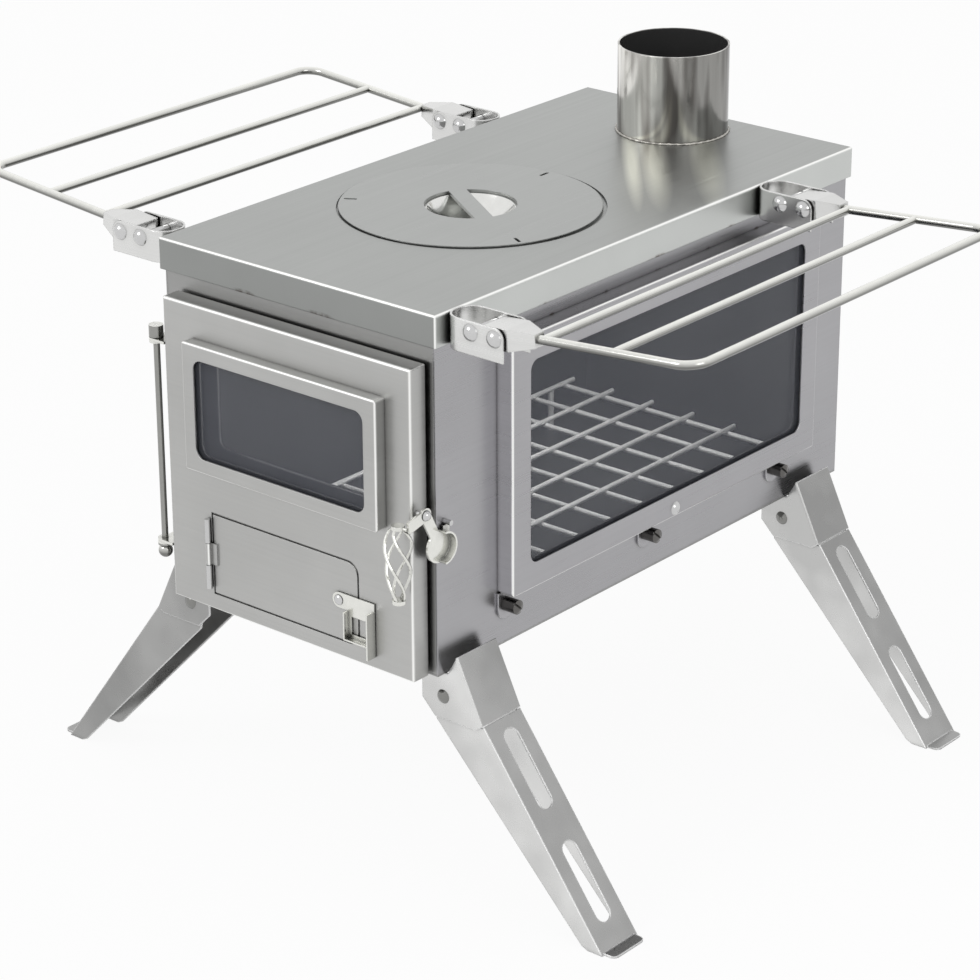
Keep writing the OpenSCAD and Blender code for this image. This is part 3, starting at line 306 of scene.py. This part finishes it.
def tinted_glass(name):
    """Grey ceramic glass: a clear, tinted pane."""
    m, nt, bsdf = new_material(name)
    haze = noise(nt, coords(nt, EVEN), 14.0, 4)
    dark, light = (0.17, 0.18, 0.215, 1), (0.21, 0.22, 0.255, 1)
    nt.links.new(mix_color(nt, remap(nt, haze, 0, 1, *MIDDLE), dark, light), bsdf.inputs["Base Color"])
    nt.links.new(remap(nt, haze, 0.04, 0.10, *MIDDLE), bsdf.inputs["Roughness"])
    bsdf.inputs["Alpha"].default_value = 0.2
    bsdf.inputs["Specular IOR Level"].default_value = 0.4
    return m


def dress(material, *names):
    for n in names:
        o = nodes[n]
        o.data.materials.clear()
        o.data.materials.append(material)


# Heat marks of the welds on the top plate's flange, front and right
FLANGE_MARKS = [(-0.0475, -0.2325, 0.433, 0.014, 0.006, 0.004), (0.0265, -0.2325, 0.433, 0.016, 0.006, 0.004),
                (0.1335, -0.113, 0.432, 0.006, 0.012, 0.0035), (0.1335, 0.0192, 0.4326, 0.006, 0.016, 0.0035),
                (0.1335, 0.11, 0.4326, 0.006, 0.008, 0.003)]

# Weld tacks along the right wall under the flange
TACK_Y, TACK_PITCH = -0.1007, 0.0622
TACKS = [(0.130, TACK_Y + TACK_PITCH * k, 0.4212, 0.003, 0.004, 0.002) for k in range(5)]

# Painted reflection of the collar on the top plate: bright streaks in front of it, their offset to the right and half
# width
COLLAR_REFLECTION_OUT, COLLAR_REFLECTION_REACH = 0.095, 0.12
COLLAR_REFLECTIONS = [(FLUE_X + math.cos(AZ) * u + math.sin(AZ) * COLLAR_REFLECTION_OUT, FLUE_Y + math.sin(AZ) * u - math.cos(AZ) * COLLAR_REFLECTION_OUT,
          TOP, COLLAR_REFLECTION_REACH, w, 0.004, AZ - math.pi / 2) for u, w in ((-0.036, 0.008), (-0.018, 0.013), (0.022, 0.014))]

ALONG_X, ALONG_Z = (500, 3, 3), (160, 160, 2)   # grain
FINE = (200, 200, 200)

panel_mat = steel("panel_steel", (0.36, 0.36, 0.355), 0.34, inside=FIREBOX)
liner_mat = steel("liner_steel", (0.36, 0.36, 0.355), 0.34)
door_mat = steel("door_steel", (0.50, 0.50, 0.49), 0.36, fold_highlight=0.95)
top_mat = steel("top_steel", (0.40, 0.41, 0.40), 0.34, grain=ALONG_X, grain_amount=0.012, bump=0.015,
                marks=FLANGE_MARKS, bright_reflections=COLLAR_REFLECTIONS, right_painted_light=1.5, front_painted_light=0.78, fold_highlight=1.0, inside=FIREBOX)
side_mat = steel("side_steel", (0.41, 0.407, 0.42), 0.30, marks=TACKS, inside=FIREBOX)
frame_mat = steel("frame_steel", (0.42, 0.416, 0.43), 0.30, front_painted_light=1.8, fold_highlight=0.95)
# Lit copy of the leg steel, for the right legs, with painted light on faces to the front
leg_lit_mat = steel("leg_lit_steel", (0.46, 0.46, 0.455), 0.26, grain=(60, 60, 60), grain_amount=0.02, cloud=0.16, bump=0,
                bevel=0.002, front_painted_light=1.8, edge_highlight=0.95)
# Copy of the leg steel in painted shade, for the left legs
leg_shaded_mat = steel("leg_shaded_steel", (0.40, 0.40, 0.395), 0.26, grain=(60, 60, 60), grain_amount=0.02, cloud=0.14,
                     bump=0, bevel=0.002, edge_highlight=0.9)
bracket_mat = steel("bracket_steel", (0.76, 0.76, 0.75), 0.24, crevice_shade=0.8, reach=0.006)
lid_mat = steel("lid_steel", (0.41, 0.42, 0.41), 0.32, grain=ALONG_X, grain_amount=0.012, bump=0.015)
collar_mat = steel("collar_steel", (0.86, 0.85, 0.81), 0.12, grain=ALONG_Z, grain_amount=0.06, cloud=0.06,
                   bump=0.4, inside=(FLUE_X, FLUE_Y, None), right_painted_light=0.36, dark_reflection_pitch=62)
dish_mat = steel("dish_steel", (0.80, 0.80, 0.78), 0.14, grain=(120, 120, 120))
wire_mat = steel("wire_steel", (0.44, 0.44, 0.42), 0.14, grain=(300, 60, 300), bevel=0, bump=0.03, up_painted_light=2.1)
grate_mat = steel("grate_steel", (0.92, 0.92, 0.90), 0.35, grain=(300, 300, 300), bevel=0, bump=0, crevice_shade=0.1)
grate_mat.node_tree.nodes["Principled BSDF"].inputs["Metallic"].default_value = 0.5
rivet_mat = steel("rivet_steel", (0.62, 0.62, 0.62), 0.14, grain=FINE, bevel=0, crevice_shade=0.8, reach=0.002)
rivet_dark_mat = steel("rivet_dark_steel", (0.26, 0.26, 0.25), 0.14, grain=FINE, bevel=0, crevice_shade=0.8)
latch_mat = steel("latch_steel", (0.80, 0.80, 0.76), 0.14, grain=FINE, bevel=0.0006, crevice_shade=0.85, reach=0.008)
screw_mat = steel("screw_steel", (0.14, 0.135, 0.13), 0.2, grain=FINE, bevel=0.0006)
weld_mat = steel("weld_steel", (0.58, 0.56, 0.52), 0.22, grain=(90, 90, 90), grain_amount=0.2, bump=0.6, bevel=0,
                 crevice_shade=0.8)
rope_mat = fabric("rope_black", (0.018, 0.018, 0.018))
tape_mat = fabric("tape_grey", (0.05, 0.05, 0.052))
glass_mat = tinted_glass("grey_glass")

dress(panel_mat, "bottom_panel", "left_panel", "back_panel", "front_panel", "side_window_retainer")
dress(side_mat, "right_panel")
dress(top_mat, "top_plate", "hob_seat")
dress(frame_mat, "side_window_frame", "side_window_clips")
dress(door_mat, "door_panel", "door_window_frame", "damper_flap")
dress(liner_mat, "door_liner", "damper_seat", "door_window_retainer")
dress(leg_lit_mat, "leg_front_right", "leg_rear_right", "leg_bracket_front_right", "leg_bracket_rear_right")
dress(leg_shaded_mat, "leg_front_left", "leg_rear_left", "leg_bracket_front_left", "leg_bracket_rear_left")
dress(bracket_mat, "shelf_brackets_right", "shelf_brackets_left", "shelf_arms_right", "shelf_arms_left")
dress(lid_mat, "hob_lid")
dress(dish_mat, "hob_dish")
dress(collar_mat, "flue_collar")
dress(weld_mat, "flue_weld")
dress(wire_mat, "shelf_frame_right", "shelf_frame_left", "hinge_rod")
dress(grate_mat, "grate_long_wires", "grate_cross_wires", "grate_feet")
dress(rivet_dark_mat, "leg_rivets")
dress(rivet_mat, "shelf_rivets", "damper_rivet", "side_window_button", "latch_pivot", "keeper_pin",
      "damper_pin", "damper_knuckles")
dress(latch_mat, "latch_plate", "latch_handle", "damper_latch", "hinge_ears_body", "hinge_ears_door")
dress(screw_mat, "side_window_screws")
dress(glass_mat, "side_window_glass", "door_window_glass")


# Soft and welded pieces
def round_path(w, h, radius, step):
    """Points of a closed rounded rectangle about the origin at equal steps, each with its outward normal and its
    distance along the path."""
    raw = []
    for cx, cy, start in ((1, 1, 0), (-1, 1, 90), (-1, -1, 180), (1, -1, 270)):
        for k in range(9):
            a = math.radians(start + 90 * k / 8)
            raw.append(Vector((cx * (w / 2 - radius) + radius * math.cos(a),
                               cy * (h / 2 - radius) + radius * math.sin(a))))
    raw.append(raw[0])
    lengths = [0.0]
    for a, b in zip(raw, raw[1:]):
        lengths.append(lengths[-1] + (b - a).length)
    count = round(lengths[-1] / step)
    points, k = [], 0
    for n in range(count):
        d = lengths[-1] * n / count
        while lengths[k + 1] < d:
            k += 1
        t = (d - lengths[k]) / max(lengths[k + 1] - lengths[k], 1e-9)
        points.append(raw[k].lerp(raw[k + 1], t))
    out = []
    for n, p in enumerate(points):
        along = (points[(n + 1) % count] - points[n - 1]).normalized()
        out.append((p, Vector((along.y, -along.x)), lengths[-1] * n / count))
    return out


def closed_tube(name, rings):
    """Smooth object whose skin joins the rings of points in turn and the last to the first."""
    bm = bmesh.new()
    rows = [[bm.verts.new(p) for p in ring] for ring in rings]
    sides = len(rows[0])
    for row, following in zip(rows, rows[1:] + rows[:1]):
        for k in range(sides):
            after = (k + 1) % sides
            bm.faces.new((row[k], following[k], following[after], row[after]))
    bmesh.ops.recalc_face_normals(bm, faces=bm.faces)
    mesh = bpy.data.meshes.new(name)
    bm.to_mesh(mesh)
    bm.free()
    mesh.polygons.foreach_set("use_smooth", [True] * len(mesh.polygons))
    o = bpy.data.objects.new(name, mesh)
    bpy.context.scene.collection.objects.link(o)
    return o


def squared(value):
    """A sine or cosine drawn towards 1 or -1, which makes a circle squarer."""
    return math.copysign(abs(value) ** 0.7, value)


def braid(name, centre, across_x, path, width, thick, relief, pitch, sides=18):
    """Closed woven band of width by thick along the path. Its strands wind both ways and stand out by relief."""
    rings = []
    for p, side, s in path:
        ring = []
        for k in range(sides):
            a = 2 * math.pi * k / sides
            strand = max(abs(math.sin(1.5 * a + pitch * s)), abs(math.sin(1.5 * a - pitch * s)))
            grow = 1 - relief * (1 - strand)
            q = p + side * (width / 2 * grow * squared(math.cos(a)))
            v = thick / 2 * grow * squared(math.sin(a))
            local = Vector((v, q.x, q.y)) if across_x else Vector((q.x, -v, q.y))
            ring.append(centre + local)
        rings.append(ring)
    return closed_tube(name, rings)


def middle(node):
    """Returns the middle and the size of the node's box."""
    lo, hi = (Vector(c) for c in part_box(node))
    return (lo + hi) / 2, hi - lo


INSET = 0.0002   # keeps a band just inside the outline of its CAD ring


def woven(node, body, material, across_x, band, radius, relief, pitch, step):
    """Woven band in place of a CAD ring: as thick as the ring, its outer edge on the ring's outline."""
    mid, size = middle(node)
    w, h, thick = (size.y, size.z, size.x) if across_x else (size.x, size.z, size.y)
    path = round_path(w - band - INSET, h - band - INSET, radius, step)
    o = braid(node + "_braid", mid, across_x, path, band, thick, relief, pitch)
    o.data.materials.append(material)
    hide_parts(node)
    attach(o, body)


woven("door_rope", "door", rope_mat, False, 0.0065, 0.004, 0.3, 900, 0.0007)
woven("door_window_gasket", "door", tape_mat, False, 0.0052, 0.003, 0.15, 1500, 0.001)
woven("side_window_gasket", "stove", tape_mat, True, 0.0052, 0.003, 0.15, 1500, 0.001)

# Weld bead at the foot of the collar: a ring of overlapping ripples
BEAD_STEPS, BEAD_SIDES = 540, 12
BEAD_RADIUS, BEAD_HALF_W, BEAD_HALF_H, BEAD_LIFT = 0.0447, 0.0015, 0.0016, 0.0004
weld_mid = middle("flue_weld")[0]
bead_rings = []
for n in range(BEAD_STEPS):
    a = 2 * math.pi * n / BEAD_STEPS
    lump = 1 - 0.3 * abs(math.sin(23 * a + 0.6 * math.sin(5 * a))) + 0.08 * math.sin(11 * a)
    ring = []
    for k in range(BEAD_SIDES):
        b = 2 * math.pi * k / BEAD_SIDES
        rad = BEAD_RADIUS + BEAD_HALF_W * lump * math.cos(b)
        ring.append(Vector((weld_mid.x + rad * math.cos(a), weld_mid.y + rad * math.sin(a),
                            TOP + BEAD_LIFT + BEAD_HALF_H * lump * math.sin(b))))
    bead_rings.append(ring)
bead = closed_tube("flue_bead", bead_rings)
bead.data.materials.append(weld_mat)
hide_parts("flue_weld")
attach(bead, "stove")

# Floor: white to the background rays, with the stove's shadow
bpy.ops.mesh.primitive_plane_add(size=30, location=(0, 0, 0))
floor = bpy.context.object
floor.name = "floor"
fm, nt, bsdf = new_material("floor")
bsdf.inputs["Base Color"].default_value = (0.82, 0.82, 0.82, 1)
bsdf.inputs["Roughness"].default_value = 0.9
out = [n for n in nt.nodes if n.type == "OUTPUT_MATERIAL"][0]
white = add(nt, "ShaderNodeEmission", Color=(1, 1, 1, 1), Strength=1.0)
mixed = nt.nodes.new("ShaderNodeMixShader")
nt.links.new(math_node(nt, "MULTIPLY", background_rays(nt), 0.93), mixed.inputs[0])
nt.links.new(bsdf.outputs[0], mixed.inputs[1])
nt.links.new(white.outputs[0], mixed.inputs[2])
nt.links.new(mixed.outputs[0], out.inputs[0])
floor.data.materials.append(fm)

# World: white to the background rays, and a little brighter from the front to all others
world = bpy.data.worlds.new("studio")
bpy.context.scene.world = world
world.use_nodes = True
nt = world.node_tree
nt.nodes.clear()
out = nt.nodes.new("ShaderNodeOutputWorld")
bg = nt.nodes.new("ShaderNodeBackground")
tc = nt.nodes.new("ShaderNodeTexCoord")
room = remap(nt, separate(nt, tc.outputs["Generated"])[1], 1.0, 0.62, -0.9, 0.9)
strength = nt.nodes.new("ShaderNodeMix")
strength.data_type = "FLOAT"
nt.links.new(background_rays(nt), strength.inputs[0])
nt.links.new(math_node(nt, "MULTIPLY", room, 0.95), strength.inputs[2])
strength.inputs[3].default_value = 1.0
nt.links.new(strength.outputs[0], bg.inputs["Strength"])
bg.inputs["Color"].default_value = (1, 1, 1, 1)
nt.links.new(bg.outputs[0], out.inputs[0])


def lamp(name, place, aim, size, power):
    data = bpy.data.lights.new(name, "AREA")
    data.shape = "RECTANGLE"
    data.size, data.size_y = size
    data.energy = power
    o = bpy.data.objects.new(name, data)
    o.location = place
    o.rotation_euler = (Vector(aim) - Vector(place)).to_track_quat("-Z", "Y").to_euler()
    bpy.context.scene.collection.objects.link(o)
    return o


lamp("key", (-1.2, -2.6, 2.4), (0, 0, 0.3), (1.6, 1.2), 22)
lamp("fill", (2.8, -0.6, 1.6), (0, 0, 0.3), (1.4, 1.4), 9)

# A lamp under the top plate lights the grate. It isn't seen itself.
inner = lamp("inner", (0, SHIFT, 0.44), (0, SHIFT, 0.2), (0.16, 0.36), 1.1)
inner.visible_camera = False
inner.visible_glossy = False
